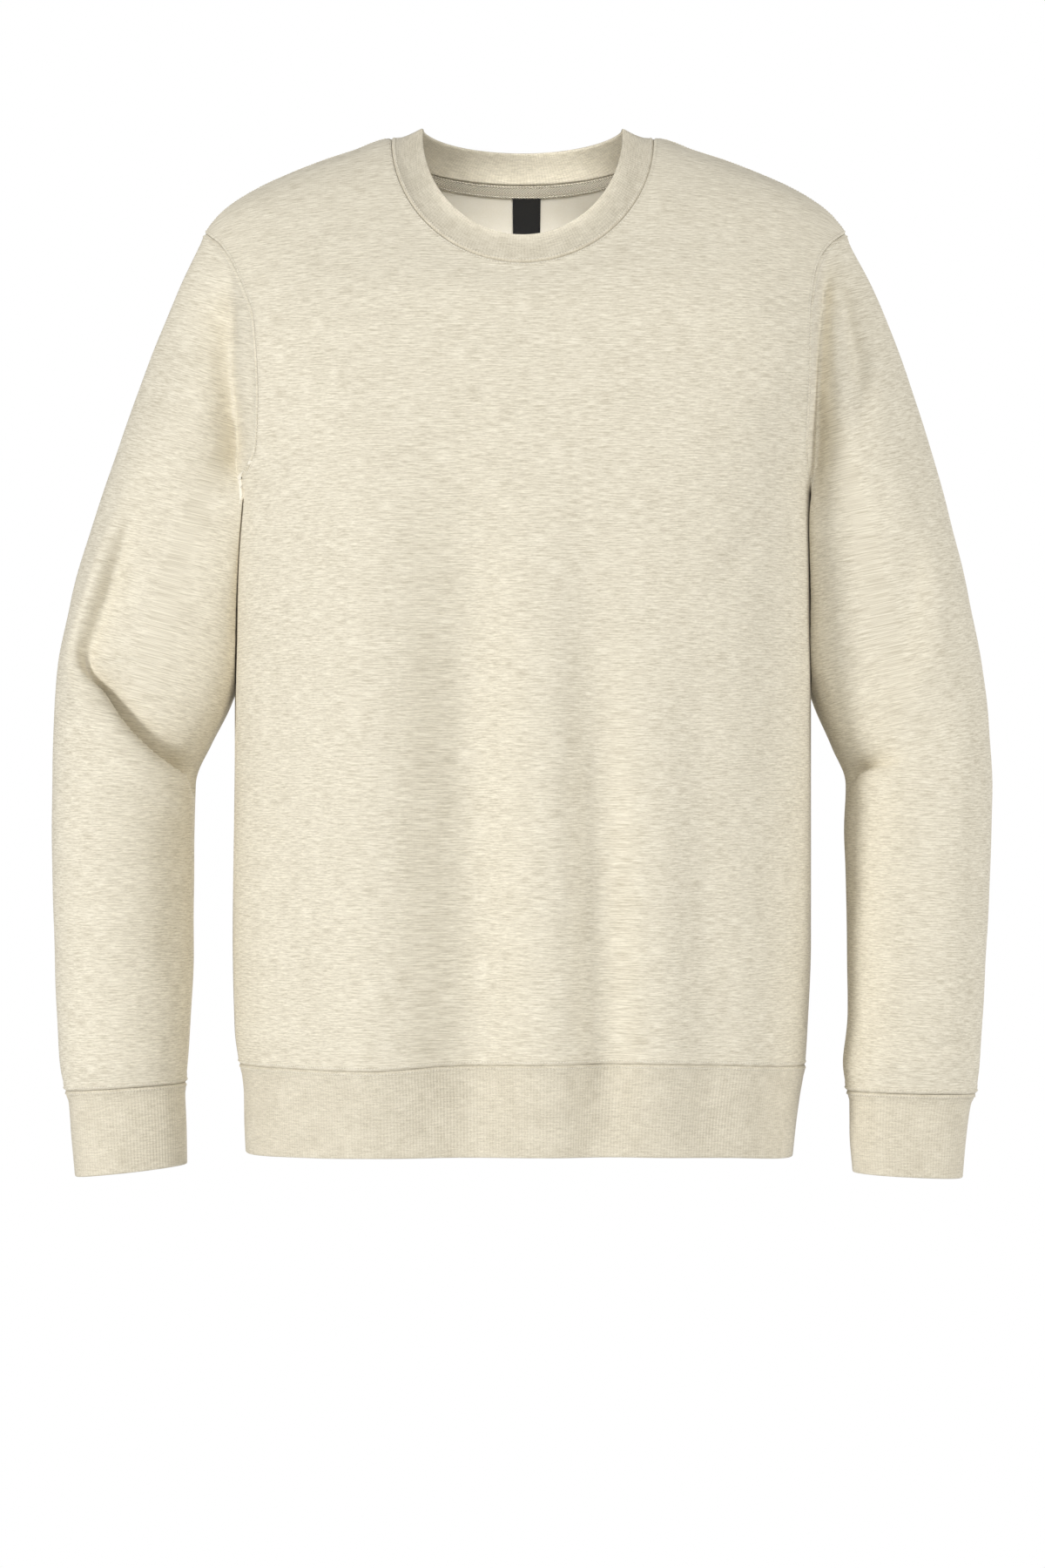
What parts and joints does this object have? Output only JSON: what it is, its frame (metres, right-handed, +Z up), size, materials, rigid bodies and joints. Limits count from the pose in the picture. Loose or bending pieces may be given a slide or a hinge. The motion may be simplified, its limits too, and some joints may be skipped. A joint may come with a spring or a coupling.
{
  "type": "crewneck sweatshirt",
  "caption": "Long-sleeved pullover sweatshirt in plain fleece knit, filled out as worn but empty, with ribbed round neck, cuffs and waistband.",
  "frame": {"origin": "midway between the two points where the shoulder seams meet the neck seam, where the wearer's shoulders carry the garment", "axes": "+Z up along the body, -Y out of the front, +X towards the wearer's left sleeve"},
  "size_m": [0.6746, 0.2549, 0.7508],
  "materials": {
    "fleece": "matte cream heather fleece-backed knit",
    "rib": "matte cream fine rib knit",
    "tape": "matte cream herringbone twill tape",
    "label": "bare black woven label"
  },
  "bodies": {
    "root": {"front_panel": "fleece", "back_panel": "fleece", "right_sleeve": "fleece", "left_sleeve": "fleece", "neckband": "rib", "waistband": "rib", "right_cuff": "rib", "left_cuff": "rib", "neck_tape": "tape", "neck_label": "label"}
  },
  "joints": []
}
